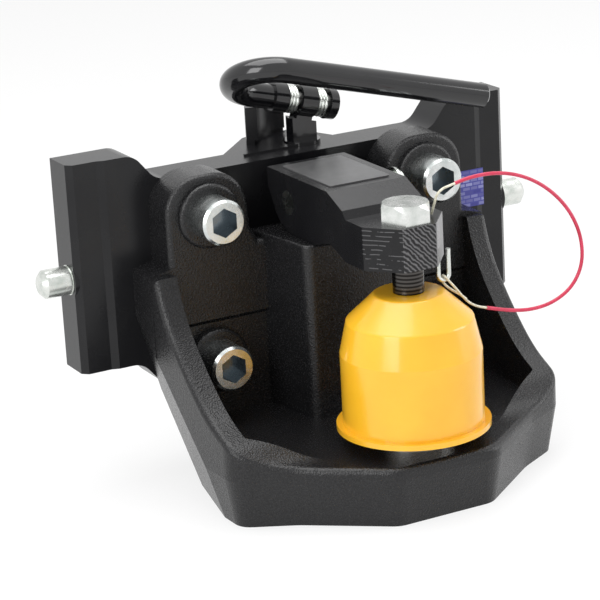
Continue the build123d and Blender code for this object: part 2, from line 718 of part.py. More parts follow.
def ball_bracket():
    flank = flank_cut()
    body = bracket_wall() + bowl() + pillar() - heel_cut() - flank - mirror(flank, Plane.YZ)
    for x, z in bolt_places():
        boss = rod((x, FACE - WALL_T / 2, z), (0, -1, 0), 2 * BOSS_R * 0.8, WALL_T / 2 + BOSS_PROUD)
        rim = boss.edges().filter_by(GeomType.CIRCLE).sort_by(Axis.Y)[0]
        body = body + fillet(rim, BOSS_PROUD * 0.7)
    for x, z in bolt_places():
        body = body - rod((x, FACE + 1, z), (0, -1, 0), BOLT_HOLE_D, WALL_T + BOSS_PROUD + 2)
    ball_y = from_face(BALL_FRONT)
    stud = rod((0, ball_y, SHELF_TOP + 1), (0, 0, -1), STUD_D + 2 * RUNNING_GAP, SHELF_TOP - SHELF_BOTTOM)
    recess = rod((0, ball_y, SHELF_BOTTOM - 1), (0, 0, 1), STUD_RECESS_D, STUD_RECESS_H + 1)
    return body - stud - recess


def bracket_bolts():
    """Socket-head cap screws, all alike."""
    bearing = FACE - WALL_T - BOSS_PROUD
    bolts = []
    for x, z in bolt_places():
        head = rod((x, bearing, z), (0, -1, 0), BOLT_HEAD_D, BOLT_HEAD_H)
        rim = head.edges().filter_by(GeomType.CIRCLE).sort_by(Axis.Y)[0]
        head = chamfer(rim, 1.6)
        socket = Plane(origin=(x, bearing - BOLT_HEAD_H, z), z_dir=(0, 1, 0)) * hexagon_prism(
            BOLT_SOCKET, BOLT_SOCKET_DEPTH
        )
        shank = rod((x, bearing - 1, z), (0, 1, 0), BOLT_D, WALL_T + BOSS_PROUD + BOLT_GRIP + 1)
        bolts.append(head - socket + shank)
    return bolts


# Ball with its stud, washer and nut
BALL_Y = from_face(BALL_FRONT)
BALL_Z = BALL_TOP - BALL_D / 2
CAP_BODY_R = BALL_D / 2 + CAP_GAP + CAP_WALL
CAP_TOP_R = CAP_BODY_R - CAP_TOP_INSET
CAP_CONE_R = CAP_BODY_R - CAP_CONE_INSET
CAP_FLANGE_R = CAP_BODY_R + CAP_FLANGE_W
RECESS_TOP = SHELF_BOTTOM + STUD_RECESS_H


def coupling_ball():
    ball = Pos(0, BALL_Y, BALL_Z) * Sphere(BALL_D / 2)
    neck = rod((0, BALL_Y, SHELF_TOP), (0, 0, 1), NECK_D, BALL_Z - SHELF_TOP)
    stud_low = RECESS_TOP - WASHER_H - NUT_H - STUD_PROUD
    stud = rod((0, BALL_Y, stud_low), (0, 0, 1), STUD_D, SHELF_TOP - stud_low + 1)
    return ball + neck + stud


def ball_washer():
    ring = rod((0, BALL_Y, RECESS_TOP), (0, 0, -1), WASHER_D, WASHER_H)
    return ring - rod((0, BALL_Y, RECESS_TOP + 1), (0, 0, -1), STUD_D + 2 * RUNNING_GAP, WASHER_H + 2)


def ball_nut():
    low = RECESS_TOP - WASHER_H - NUT_H
    nut = Pos(0, BALL_Y, low) * hexagon_prism(NUT_AF, NUT_H)
    return nut - rod((0, BALL_Y, low - 1), (0, 0, 1), STUD_D + 2 * RUNNING_GAP, NUT_H + 2)


def ball_cap():
    """Plastic cap of constant wall over the ball: flat top, cone, shoulder, body and flange."""
    top = BALL_Z + BALL_D / 2 + CAP_REST + CAP_WALL
    low = BALL_Z - BALL_D / 2 - CAP_SKIRT
    outer = [
        (0, top),
        (CAP_TOP_R, top),
        (CAP_CONE_R, top - CAP_CONE_DROP),
        (CAP_BODY_R, top - CAP_SHOULDER_DROP),
        (CAP_BODY_R, low + CAP_FLANGE_H),
        (CAP_FLANGE_R, low + CAP_FLANGE_H),
        (CAP_FLANGE_R, low),
        (CAP_BODY_R - CAP_WALL, low),
        (CAP_BODY_R - CAP_WALL, top - CAP_SHOULDER_DROP),
        (CAP_CONE_R - CAP_WALL, top - CAP_CONE_DROP - CAP_WALL * 0.3),
        (CAP_TOP_R - CAP_WALL * 0.3, top - CAP_WALL),
        (0, top - CAP_WALL),
    ]
    section = make_face(Polyline(*outer, close=True))
    soft = [v for v in section.vertices() if abs(v.X - CAP_CONE_R) < 0.1 or abs(v.X - CAP_TOP_R) < 0.1]
    section = fillet(soft, CAP_WALL)
    return Pos(0, BALL_Y, 0) * revolve(Plane.XZ * section, Axis.Z)


# Hold-down arm
def hold_down_arm():
    hinge_y = from_face(HINGE_BACK)
    rear = from_face(ARM_REAR)
    seat = LEDGE_Z + ARM_SEAT_GAP
    turn = math.radians(90 - TAIL_CUT_ANGLE)
    touch = (hinge_y + TAIL_R * math.cos(turn), HINGE_Z - TAIL_R * math.sin(turn))
    drop = (rear - touch[0]) * math.tan(math.radians(TAIL_CUT_ANGLE))
    profile = [
        (rear, ARM_TOP),
        (rear, touch[1] + drop),
        touch,
        (hinge_y + TAIL_R * 0.5, HINGE_Z - TAIL_R * 0.866),
        (hinge_y, seat),
        (from_face(PILLAR_FRONT), seat),
        (from_face(ARM_ARCH_BACK), ARM_ARCH_Z),
        (from_face(ARM_ARCH_FRONT), NOSE_BOTTOM),
        (from_face(NOSE_FRONT), NOSE_BOTTOM),
        (from_face(NOSE_FRONT), NOSE_LAND),
        (from_face(ARM_SLOPE_END) - NOSE_STEP, NOSE_LAND),
        (from_face(ARM_SLOPE_END), ARM_SLOPE_LOW),
        (from_face(ARM_FLAT_END), ARM_TOP),
    ]
    body = side_prism(profile, -ARM_HALF, ARM_HALF)
    plan = plan_prism(
        mirrored([
            (ARM_HALF, rear),
            (ARM_HALF, from_face(NOSE_FACET_START)),
            (NOSE_FRONT_HALF, from_face(NOSE_FRONT)),
        ]),
        0,
        ARM_TOP,
    )
    body = body & plan
    slot_half = TONGUE_HALF + TONGUE_GAP
    slot_front = hinge_y - math.hypot(TONGUE_R, HINGE_Z - LEDGE_Z) - TONGUE_GAP
    slot = box_between(
        (-slot_half, slot_front, 0), (slot_half, rear + 1, HINGE_Z + TONGUE_R + TONGUE_GAP)
    )
    pin = rod((-2 * ARM_HALF, hinge_y, HINGE_Z), (1, 0, 0), HINGE_D, 4 * ARM_HALF)
    bolt = rod((0, BALL_Y, 0), (0, 0, 1), HOLD_BOLT_D, ARM_TOP)
    body = body - slot - pin - bolt
    for leg in staple_legs():
        body = body - rod((leg, from_face(STAPLE_FRONT), 0), (0, 0, 1), STAPLE_WIRE, NOSE_BOTTOM + STAPLE_SEAT)
    return body


def hold_down_hinge_pin():
    pin = rod((-ARM_HALF, from_face(HINGE_BACK), HINGE_Z), (1, 0, 0), HINGE_D, ARM_HALF + HINGE_FREE_END)
    rim = pin.edges().filter_by(GeomType.CIRCLE).sort_by(Axis.X)[-1]
    return chamfer(rim, 1.0) - hinge_ring()


def hinge_ring():
    """Retaining ring in the groove of the pin's free end."""
    start = (HINGE_FREE_END - 2 * HINGE_GROOVE, from_face(HINGE_BACK), HINGE_Z)
    ring = rod(start, (1, 0, 0), HINGE_D + 5, HINGE_GROOVE * 0.6)
    return ring - rod(start, (1, 0, 0), HINGE_D - 2, HINGE_GROOVE)


def hold_down_bolt():
    """Hexagon bolt through the nose, with its end just over the cap."""
    low = BALL_Z + BALL_D / 2 + CAP_WALL + 2 * CAP_REST
    head = Pos(0, BALL_Y, NOSE_LAND) * hexagon_prism(HOLD_BOLT_AF, HOLD_BOLT_HEAD_H)
    crown = Pos(0, BALL_Y, NOSE_LAND) * Cone(
        HOLD_BOLT_AF * 0.72,
        HOLD_BOLT_AF * 0.48,
        HOLD_BOLT_HEAD_H,
        align=(Align.CENTER, Align.CENTER, Align.MIN),
    )
    shank = rod((0, BALL_Y, low), (0, 0, 1), HOLD_BOLT_D, NOSE_LAND - low + 1)
    return (head & crown) + shank


def type_plate():
    middle = (from_face(ARM_FLAT_END) + from_face(ARM_REAR)) / 2
    plate = Pos(0, middle, ARM_TOP) * Box(
        TYPE_PLATE_W, TYPE_PLATE_L, TYPE_PLATE_T, align=(Align.CENTER, Align.CENTER, Align.MIN)
    )
    return fillet(plate.edges().filter_by(Axis.Z), 2.0)


# Staple and lanyard
def staple_legs():
    return [STAPLE_X - STAPLE_SPAN / 2, STAPLE_X + STAPLE_SPAN / 2]


def staple():
    y = from_face(STAPLE_FRONT)
    left, right = staple_legs()
    top = NOSE_BOTTOM + STAPLE_SEAT
    low = NOSE_BOTTOM - STAPLE_DROP + STAPLE_SPAN / 2
    path = Wire([
        Edge.make_line((left, y, top), (left, y, low)),
        Edge.make_three_point_arc((left, y, low), (STAPLE_X, y, low - STAPLE_SPAN / 2), (right, y, low)),
        Edge.make_line((right, y, low), (right, y, top)),
    ])
    return sweep(Plane(origin=(left, y, top), z_dir=(0, 0, -1)) * Circle(STAPLE_WIRE / 2), path=path)


LANYARD_ROUTE = [
    (32.0, 65.36),
    (43.0, 67.5),
    (61.0, 67.5),
    (78.0, 63.5),
    (94.0, 55.5),
    (108.0, 44.0),
    (119.0, 30.0),
    (126.0, 13.0),
    (126.5, -5.0),
    (118.0, -19.0),
    (103.0, -26.5),
    (86.0, -28.0),
    (69.0, -25.0),
    (53.0, -20.0),
]
UPPER_END_ROUTE = [(18.6, 46.4), (18.7, 51.0), (19.6, 62.95), (32.0, 65.36)]
LOWER_END_ROUTE = [(53.0, -20.0), (45.37, -17.61), (37.5, -12.5), (32.0, -5.0)]


def wire_tube(route, y_values, diameter):
    """Tube along straight runs joined by the largest tangent arcs that the runs allow."""
    points = [Vector(x, y, z) for (x, z), y in zip(route, y_values)]
    radii = []
    for i in range(1, len(points) - 1):
        before = points[i] - points[i - 1]
        after = points[i + 1] - points[i]
        half_turn = math.radians(before.get_angle(after)) / 2
        radii.append(0.45 * min(before.length, after.length) / math.tan(half_turn))
    path = FilletPolyline(*points, radius=radii)
    section = Plane(origin=path @ 0, z_dir=path % 0) * Circle(diameter / 2)
    print("tube radii", [round(r, 1) for r in radii], "length", round(path.length, 1))
    return sweep(section, path=path)


def lanyard():
    y = from_face(LANYARD_FRONT)
    return wire_tube(LANYARD_ROUTE, [y] * len(LANYARD_ROUTE), LANYARD_D)


def upper_end():
    y = from_face(LANYARD_FRONT)
    return wire_tube(UPPER_END_ROUTE, [BALL_Y, (2 * BALL_Y + y) / 3, y, y], LANYARD_BARE_D)


def lower_end():
    y = from_face(LANYARD_FRONT)
    return wire_tube(LOWER_END_ROUTE, [y] * len(LOWER_END_ROUTE), LANYARD_BARE_D)


def build_parts():
    """Every piece by its node's name."""
    return {
        "slide_plate": slide_plate(),
        "pin_bushes": pin_bushes(),
        "left_locking_pin": left_locking_pin(),
        "right_locking_pin": right_locking_pin(),
        "lever_shaft": lever_shaft(),
        "pinion": pinion(),
        "pinion_cross_pin": pinion_pin(),
        "handle_bar": handle_bar(),
        "handle_hinge_pin": handle_hinge_pin(),
        "handle_left_collar": collar(LEFT_COLLAR_END, LEFT_COLLAR_LENGTH),
        "handle_right_collar": collar(RIGHT_COLLAR_END - RIGHT_COLLAR_LENGTH, RIGHT_COLLAR_LENGTH),
        "handle_spring": handle_spring(),
        "ball_bracket": ball_bracket(),
        "bracket_bolts": bracket_bolts(),
        "coupling_ball": coupling_ball(),
        "ball_washer": ball_washer(),
        "ball_nut": ball_nut(),
        "ball_cap": ball_cap(),
        "hold_down_arm": hold_down_arm(),
        "hold_down_hinge_pin": hold_down_hinge_pin(),
        "hinge_ring": hinge_ring(),
        "hold_down_bolt": hold_down_bolt(),
        "type_plate": type_plate(),
        "lanyard_staple": staple(),
        "lanyard": lanyard(),
        "lanyard_upper_end": upper_end(),
        "lanyard_lower_end": lower_end(),
    }


def main():
    os.makedirs("parts", exist_ok=True)
    for name, shape in build_parts().items():
        solids = shape if isinstance(shape, list) else [shape]
        export_step(Compound(children=solids) if len(solids) > 1 else solids[0], f"parts/{name}.step")


main()
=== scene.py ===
import math

import bmesh
import bpy
from mathutils import Matrix, Vector


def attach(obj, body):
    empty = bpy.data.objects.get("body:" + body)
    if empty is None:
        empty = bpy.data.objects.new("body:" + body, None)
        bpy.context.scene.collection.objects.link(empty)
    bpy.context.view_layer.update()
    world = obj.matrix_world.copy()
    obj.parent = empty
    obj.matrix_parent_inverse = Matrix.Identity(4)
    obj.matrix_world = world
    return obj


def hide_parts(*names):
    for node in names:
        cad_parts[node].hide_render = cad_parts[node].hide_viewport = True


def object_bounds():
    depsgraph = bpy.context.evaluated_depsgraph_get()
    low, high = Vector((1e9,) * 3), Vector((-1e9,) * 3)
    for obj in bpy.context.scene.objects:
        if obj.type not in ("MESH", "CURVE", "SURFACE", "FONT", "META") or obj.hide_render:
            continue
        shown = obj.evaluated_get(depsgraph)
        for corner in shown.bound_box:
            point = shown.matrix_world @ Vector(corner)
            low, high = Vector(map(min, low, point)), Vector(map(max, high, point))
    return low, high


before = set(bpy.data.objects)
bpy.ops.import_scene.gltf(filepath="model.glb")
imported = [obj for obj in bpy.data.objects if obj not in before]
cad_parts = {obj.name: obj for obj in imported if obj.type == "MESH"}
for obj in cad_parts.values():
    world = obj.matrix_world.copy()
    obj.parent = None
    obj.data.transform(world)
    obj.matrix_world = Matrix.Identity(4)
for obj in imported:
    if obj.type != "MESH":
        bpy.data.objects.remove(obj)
cad_box = [list(corner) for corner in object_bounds()]

# Places that the scene shares with the solids, in millimetres
MM = 0.001
FRONT = -14.0
NOSE_LAND = 45.5
BALL_Y = FRONT - 143.0
LANYARD_Y = FRONT - 150.0
WIRE_R = 0.8
SLEEVE_R = 1.2
UPPER_END = [(18.6, 46.4), (18.7, 51.0), (19.6, 62.95)]
UPPER_END_Y = [BALL_Y, (2 * BALL_Y + LANYARD_Y) / 3, LANYARD_Y]
SLEEVE = [
    (32.0, 65.36), (43.0, 67.5), (61.0, 67.5), (78.0, 63.5), (94.0, 55.5), (108.0, 44.0),
    (119.0, 30.0), (126.0, 13.0), (126.5, -5.0), (118.0, -19.0), (103.0, -26.5), (86.0, -28.0),
    (69.0, -25.0), (53.0, -20.0),
]
LOWER_END = [(45.37, -17.61), (37.5, -12.5), (32.0, -5.0)]
STAPLE_LOOP = [
    (32.0, 0.0, -5.0), (29.0, 0.2, -1.0), (25.5, 0.4, 3.2), (23.5, 2.0, 6.4), (23.0, 4.2, 6.4),
    (23.2, 5.8, 3.0), (26.0, 4.8, -1.5), (30.0, 2.2, -5.0), (34.0, 0.6, -7.6), (38.0, 0.4, -11.4),
]
NOSE_SIDE = (29.0, FRONT - 139.0)
NOSE_TIP = (12.0, FRONT - 160.0)
BOLT_X = 81.5
BOLT_UPPER_Z = 38.5
BOLT_LOWER_Z = -60.0
SOCKET_REACH = 9.9
BOLT_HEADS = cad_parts["bracket_bolts"].data.vertices
BOLT_FACE_Y = min(vertex.co.y for vertex in BOLT_HEADS) / MM + 0.2
LABEL = (123.5, 0.0, 145.0, 26.4)


def place(x, y, z):
    """A point given in millimetres."""
    return Vector((x * MM, y * MM, z * MM))


# Shader node groups
def group(name, inputs, outputs):
    """An empty shader group with named number inputs and its in and out nodes."""
    tree = bpy.data.node_groups.new(name, "ShaderNodeTree")
    for label, value in inputs:
        socket = tree.interface.new_socket(label, in_out="INPUT", socket_type="NodeSocketFloat")
        socket.default_value = value
    for label, kind in outputs:
        tree.interface.new_socket(label, in_out="OUTPUT", socket_type=kind)
    return tree, tree.nodes.new("NodeGroupInput"), tree.nodes.new("NodeGroupOutput")


def node(tree, kind, **settings):
    """A node whose settings and plain input values are given by name."""
    made = tree.nodes.new(kind)
    for label, value in settings.items():
        if hasattr(made, label):
            setattr(made, label, value)
        else:
            made.inputs[label.replace("_", " ")].default_value = value
    return made


def math_node(tree, operation, first, second=None):
    """A Math node on links or plain numbers."""
    made = tree.nodes.new("ShaderNodeMath")
    made.operation = operation
    for index, value in enumerate((first, second)):
        if value is None:
            continue
        if isinstance(value, (int, float)):
            made.inputs[index].default_value = value
        else:
            tree.links.new(value, made.inputs[index])
    return made.outputs[0]


def grit_group():
    """Cast or sprayed grain: a height for bump and a tone for colour and gloss."""
    tree, start, end = group(
        "grit",
        [("Grain", 700.0), ("Blotch", 40.0), ("Pits", 0.5), ("Speck", 0.0)],
        [("Height", "NodeSocketFloat"), ("Tone", "NodeSocketFloat")],
    )
    where = node(tree, "ShaderNodeTexCoord").outputs["Object"]
    fine = node(tree, "ShaderNodeTexNoise", Detail=3.0, Roughness=0.6)
    coarse = node(tree, "ShaderNodeTexNoise", Detail=4.0, Roughness=0.55)
    cells = node(tree, "ShaderNodeTexVoronoi", feature="SMOOTH_F1", Smoothness=0.6)
    for texture, scale in ((fine, "Grain"), (coarse, "Blotch"), (cells, "Grain")):
        tree.links.new(where, texture.inputs["Vector"])
        tree.links.new(start.outputs[scale], texture.inputs["Scale"])
    pits = math_node(tree, "MULTIPLY", cells.outputs["Distance"], start.outputs["Pits"])
    height = math_node(tree, "ADD", fine.outputs["Fac"], pits)
    tree.links.new(height, end.inputs["Height"])
    apart = math_node(tree, "SUBTRACT", fine.outputs["Fac"], coarse.outputs["Fac"])
    speck = math_node(tree, "MULTIPLY", apart, start.outputs["Speck"])
    tree.links.new(math_node(tree, "ADD", coarse.outputs["Fac"], speck), end.inputs["Tone"])
    return tree


def brushed_group():
    """Turned or drawn metal: fine streaks across one axis, with soft stains."""
    tree, start, end = group(
        "brushed",
        [("Streaks", 900.0), ("Along", 30.0), ("Stain", 60.0)],
        [("Height", "NodeSocketFloat"), ("Tone", "NodeSocketFloat")],
    )
    where = node(tree, "ShaderNodeTexCoord").outputs["Object"]
    stretch = node(tree, "ShaderNodeCombineXYZ")
    tree.links.new(start.outputs["Streaks"], stretch.inputs["X"])
    tree.links.new(start.outputs["Along"], stretch.inputs["Y"])
    tree.links.new(start.outputs["Streaks"], stretch.inputs["Z"])
    scaled = node(tree, "ShaderNodeVectorMath", operation="MULTIPLY")
    tree.links.new(where, scaled.inputs[0])
    tree.links.new(stretch.outputs[0], scaled.inputs[1])
    streak = node(tree, "ShaderNodeTexNoise", Scale=1.0, Detail=2.0)
    stain = node(tree, "ShaderNodeTexNoise", Detail=4.0)
    tree.links.new(scaled.outputs[0], streak.inputs["Vector"])
    tree.links.new(where, stain.inputs["Vector"])
    tree.links.new(start.outputs["Stain"], stain.inputs["Scale"])
    tree.links.new(streak.outputs["Fac"], end.inputs["Height"])
    tree.links.new(stain.outputs["Fac"], end.inputs["Tone"])
    return tree


def nose_group():
    """Cutter marks on the hold-down arm's nose: lines and ripples; and a painted sheen over one whole facet.
    """
    tree, start, end = group(
        "nose_marks",
        [("Lines", 105.0), ("Ripples", 190.0)],
        [("Marks", "NodeSocketFloat"), ("PaintedSheen", "NodeSocketFloat")],
    )
    where = node(tree, "ShaderNodeTexCoord").outputs["Object"]
    split = node(tree, "ShaderNodeSeparateXYZ")
    tree.links.new(where, split.inputs[0])
    run = Vector((NOSE_TIP[0] - NOSE_SIDE[0], NOSE_TIP[1] - NOSE_SIDE[1])).normalized()
    reach = (-run.y * NOSE_SIDE[0] + run.x * NOSE_SIDE[1]) * MM - 0.4 * MM

    def facet(side):
        across = math_node(tree, "MULTIPLY", split.outputs["X"], -run.y * side)
        along = math_node(tree, "MULTIPLY", split.outputs["Y"], run.x)
        return math_node(tree, "GREATER_THAN", math_node(tree, "ADD", across, along), reach)

    front = math_node(tree, "LESS_THAN", split.outputs["Y"], NOSE_TIP[1] * MM + 0.3 * MM)
    lines = node(tree, "ShaderNodeTexWave", bands_direction="Z", Distortion=0.8, Detail=1.0)
    ripples = node(tree, "ShaderNodeTexWave", bands_direction="DIAGONAL", Distortion=5.0, Detail=2.0)
    breaks = node(tree, "ShaderNodeTexNoise", Scale=160.0, Detail=2.0)
    for texture in (lines, ripples, breaks):
        tree.links.new(where, texture.inputs["Vector"])
    tree.links.new(start.outputs["Lines"], lines.inputs["Scale"])
    tree.links.new(start.outputs["Ripples"], ripples.inputs["Scale"])
    thin = math_node(tree, "GREATER_THAN", lines.outputs["Fac"], 0.9)
    broken = math_node(tree, "GREATER_THAN", breaks.outputs["Fac"], 0.5)
    scored = math_node(tree, "MULTIPLY", math_node(tree, "MULTIPLY", thin, broken), facet(-1))
    waved = math_node(tree, "MULTIPLY", math_node(tree, "POWER", ripples.outputs["Fac"], 2.0), front)
    faint = math_node(tree, "MULTIPLY", scored, 0.6)
    tree.links.new(math_node(tree, "ADD", faint, waved), end.inputs["Marks"])
    # painted sheen: the nose's whole right facet, which takes a lighter grey
    tree.links.new(facet(1), end.inputs["PaintedSheen"])
    return tree


GRIT = grit_group()
BRUSHED = brushed_group()
NOSE_MARKS = nose_group()


def finish_material(name, source, values, dark, light, rough, bump, depth, **sockets):
    """A finish from one of the groups: its tone mixes two colours and two gloss levels."""
    material = bpy.data.materials.new(name)
    material.use_nodes = True
    tree = material.node_tree
    shader = tree.nodes["Principled BSDF"]
    grain = tree.nodes.new("ShaderNodeGroup")
    grain.node_tree = source
    for label, value in values.items():
        grain.inputs[label].default_value = value
    ramp = tree.nodes.new("ShaderNodeValToRGB")
    ramp.color_ramp.elements[0].position = 0.3
    ramp.color_ramp.elements[1].position = 0.7
    ramp.color_ramp.elements[0].color = (*dark, 1.0)
    ramp.color_ramp.elements[1].color = (*light, 1.0)
    tree.links.new(grain.outputs["Tone"], ramp.inputs["Fac"])
    tree.links.new(ramp.outputs["Color"], shader.inputs["Base Color"])
    gloss = node(tree, "ShaderNodeMapRange", clamp=True)
    gloss.inputs["To Min"].default_value = rough[0]
    gloss.inputs["To Max"].default_value = rough[1]
    tree.links.new(grain.outputs["Tone"], gloss.inputs["Value"])
    tree.links.new(gloss.outputs["Result"], shader.inputs["Roughness"])
    relief = node(tree, "ShaderNodeBump", Strength=bump, Distance=depth)
    tree.links.new(grain.outputs["Height"], relief.inputs["Height"])
    tree.links.new(relief.outputs["Normal"], shader.inputs["Normal"])
    for label, value in sockets.items():
        shader.inputs[label.replace("_", " ")].default_value = value
    return material


casting = finish_material(
    "black_casting", GRIT, {"Grain": 950.0, "Blotch": 30.0, "Pits": 0.9, "Speck": 0.85},
    (0.0015, 0.0015, 0.002), (0.019, 0.019, 0.02), (0.18, 0.34), 0.5, 0.0005, Specular_IOR_Level=0.38,
)
paint = finish_material(
    "black_paint", GRIT, {"Grain": 900.0, "Blotch": 24.0, "Pits": 0.2},
    (0.006, 0.006, 0.007), (0.011, 0.011, 0.012), (0.2, 0.3), 0.16, 0.0003, Specular_IOR_Level=0.3,
)
gloss_paint = finish_material(
    "gloss_black", GRIT, {"Grain": 260.0, "Blotch": 30.0, "Pits": 0.1},
    (0.004, 0.004, 0.005), (0.008, 0.008, 0.009), (0.1, 0.18), 0.05, 0.0003, Coat_Weight=0.3,
)
zinc = finish_material(
    "zinc_plate", BRUSHED, {"Streaks": 900.0, "Along": 260.0, "Stain": 150.0},
    (0.56, 0.6, 0.56), (0.78, 0.79, 0.76), (0.2, 0.34), 0.12, 0.0002, Metallic=1.0,
)
steel = finish_material(
    "plain_steel", BRUSHED, {"Streaks": 1200.0, "Along": 60.0, "Stain": 70.0},
    (0.42, 0.42, 0.41), (0.58, 0.58, 0.56), (0.24, 0.36), 0.15, 0.0002, Metallic=1.0,
)
bolt_zinc = finish_material(
    "bolt_zinc", BRUSHED, {"Streaks": 900.0, "Along": 260.0, "Stain": 150.0},
    (0.6, 0.63, 0.6), (0.8, 0.81, 0.79), (0.2, 0.32), 0.12, 0.0002, Metallic=1.0,
)


head_zinc_socket_shade = finish_material(
    "head_zinc_socket_shade", BRUSHED, {"Streaks": 900.0, "Along": 260.0, "Stain": 150.0},
    (0.52, 0.56, 0.55), (0.74, 0.76, 0.75), (0.2, 0.32), 0.14, 0.0002, Metallic=1.0,
)


def shade_sockets(material):
    """Painted shade inside the sockets of the four bracket bolts, as a dark grey colour."""
    tree = material.node_tree
    shader = tree.nodes["Principled BSDF"]
    before = shader.inputs["Base Color"].links[0].from_socket
    split = node(tree, "ShaderNodeSeparateXYZ")
    tree.links.new(node(tree, "ShaderNodeTexCoord").outputs["Object"], split.inputs[0])
    middle = (BOLT_UPPER_Z + BOLT_LOWER_Z) / 2 * MM
    half = (BOLT_UPPER_Z - BOLT_LOWER_Z) / 2 * MM
    out_x = math_node(tree, "SUBTRACT", math_node(tree, "ABSOLUTE", split.outputs["X"]), BOLT_X * MM)
    height = math_node(tree, "ABSOLUTE", math_node(tree, "SUBTRACT", split.outputs["Z"], middle))
    out_z = math_node(tree, "SUBTRACT", height, half)
    across = math_node(tree, "POWER", out_x, 2.0)
    upright = math_node(tree, "POWER", out_z, 2.0)
    square = math_node(tree, "ADD", across, upright)
    inside = math_node(tree, "LESS_THAN", math_node(tree, "SQRT", square), SOCKET_REACH * MM)
    deep = math_node(tree, "GREATER_THAN", split.outputs["Y"], BOLT_FACE_Y * MM)
    mix = node(tree, "ShaderNodeMix", data_type="RGBA")
    tree.links.new(math_node(tree, "MULTIPLY", inside, deep), mix.inputs[0])
    tree.links.new(before, mix.inputs[6])
    # dark grey painted shade for the sockets
    mix.inputs[7].default_value = (0.17, 0.2, 0.22, 1.0)
    tree.links.new(mix.outputs[2], shader.inputs["Base Color"])


shade_sockets(head_zinc_socket_shade)


def darken_shank(material):
    """The bolt's shank is coloured dark, with thread bands, below the nose's land."""
    tree = material.node_tree
    shader = tree.nodes["Principled BSDF"]
    before = shader.inputs["Base Color"].links[0].from_socket
    split = node(tree, "ShaderNodeSeparateXYZ")
    tree.links.new(node(tree, "ShaderNodeTexCoord").outputs["Object"], split.inputs[0])
    thread = node(tree, "ShaderNodeTexWave", bands_direction="Z", Scale=125.0)
    tree.links.new(node(tree, "ShaderNodeTexCoord").outputs["Object"], thread.inputs["Vector"])
    dark_thread = node(tree, "ShaderNodeValToRGB")
    dark_thread.color_ramp.elements[0].color = (0.012, 0.011, 0.01, 1.0)
    dark_thread.color_ramp.elements[1].color = (0.09, 0.085, 0.08, 1.0)
    tree.links.new(thread.outputs["Fac"], dark_thread.inputs["Fac"])
    mix = node(tree, "ShaderNodeMix", data_type="RGBA")
    tree.links.new(math_node(tree, "LESS_THAN", split.outputs["Z"], NOSE_LAND * MM), mix.inputs[0])
    tree.links.new(before, mix.inputs[6])
    tree.links.new(dark_thread.outputs["Color"], mix.inputs[7])
    tree.links.new(mix.outputs[2], shader.inputs["Base Color"])


darken_shank(bolt_zinc)
bare_wire = finish_material(
    "bare_wire", BRUSHED, {"Streaks": 2600.0, "Along": 2600.0, "Stain": 500.0},
    (0.5, 0.47, 0.36), (0.82, 0.79, 0.66), (0.35, 0.5), 0.5, 0.0004, Metallic=0.25,
)
yellow = finish_material(
    "yellow_plastic", GRIT, {"Grain": 500.0, "Blotch": 22.0, "Pits": 0.1},
    (0.84, 0.43, 0.018), (0.9, 0.485, 0.025), (0.2, 0.28), 0.04, 0.0003, Coat_Weight=0.35,
    Coat_Roughness=0.08, Subsurface_Weight=0.08, Subsurface_Scale=0.004,
)
red_sleeve = finish_material(
    "red_sleeve", GRIT, {"Grain": 900.0, "Blotch": 90.0, "Pits": 0.1},
    (0.5, 0.02, 0.06), (0.62, 0.04, 0.1), (0.3, 0.4), 0.1, 0.0002,
)
plate_face = finish_material(
    "plate_face", BRUSHED, {"Streaks": 300.0, "Along": 1400.0, "Stain": 170.0},
    (0.09, 0.09, 0.092), (0.13, 0.13, 0.133), (0.3, 0.4), 0.2, 0.0003, Metallic=0.5,
)
arm_paint = finish_material(
    "arm_paint", GRIT, {"Grain": 900.0, "Blotch": 24.0, "Pits": 0.2},
    (0.006, 0.006, 0.007), (0.011, 0.011, 0.012), (0.22, 0.32), 0.14, 0.0003, Specular_IOR_Level=0.28,
)


def mark_nose(material):
    """Lets the cutter marks through the arm's paint, and paints a lighter grey sheen on the nose's right
    facet.
    """
    tree = material.node_tree
    shader = tree.nodes["Principled BSDF"]
    marks = tree.nodes.new("ShaderNodeGroup")
    marks.node_tree = NOSE_MARKS
    before = shader.inputs["Base Color"].links[0].from_socket
    # the second colour, a lighter grey, is painted sheen on the nose's right facet
    for label, colour in (("Marks", (0.14, 0.14, 0.145)), ("PaintedSheen", (0.17, 0.17, 0.175))):
        mix = node(tree, "ShaderNodeMix", data_type="RGBA")
        tree.links.new(marks.outputs[label], mix.inputs[0])
        tree.links.new(before, mix.inputs[6])
        mix.inputs[7].default_value = (*colour, 1.0)
        before = mix.outputs[2]
    tree.links.new(before, shader.inputs["Base Color"])


mark_nose(arm_paint)


def label_face():
    """A plain blue sticker face with pale blocks, no words."""
    material = bpy.data.materials.new("blue_label")
    material.use_nodes = True
    tree = material.node_tree
    shader = tree.nodes["Principled BSDF"]
    where = node(tree, "ShaderNodeTexCoord").outputs["Object"]
    split = node(tree, "ShaderNodeSeparateXYZ")
    flat = node(tree, "ShaderNodeCombineXYZ")
    tree.links.new(where, split.inputs[0])
    tree.links.new(split.outputs["X"], flat.inputs["X"])
    tree.links.new(split.outputs["Z"], flat.inputs["Y"])
    blocks = node(tree, "ShaderNodeTexBrick", offset=0.35, Scale=1.0, Mortar_Size=0.00045, Mortar_Smooth=0.1)
    blocks.inputs["Brick Width"].default_value = 0.0062
    blocks.inputs["Row Height"].default_value = 0.0029
    blocks.inputs["Color1"].default_value = (0.03, 0.03, 0.27, 1.0)
    blocks.inputs["Color2"].default_value = (0.3, 0.31, 0.6, 1.0)
    blocks.inputs["Mortar"].default_value = (0.05, 0.05, 0.33, 1.0)
    tree.links.new(flat.outputs[0], blocks.inputs["Vector"])
    tree.links.new(blocks.outputs["Color"], shader.inputs["Base Color"])
    shader.inputs["Roughness"].default_value = 0.3
    return material


blue_label = label_face()

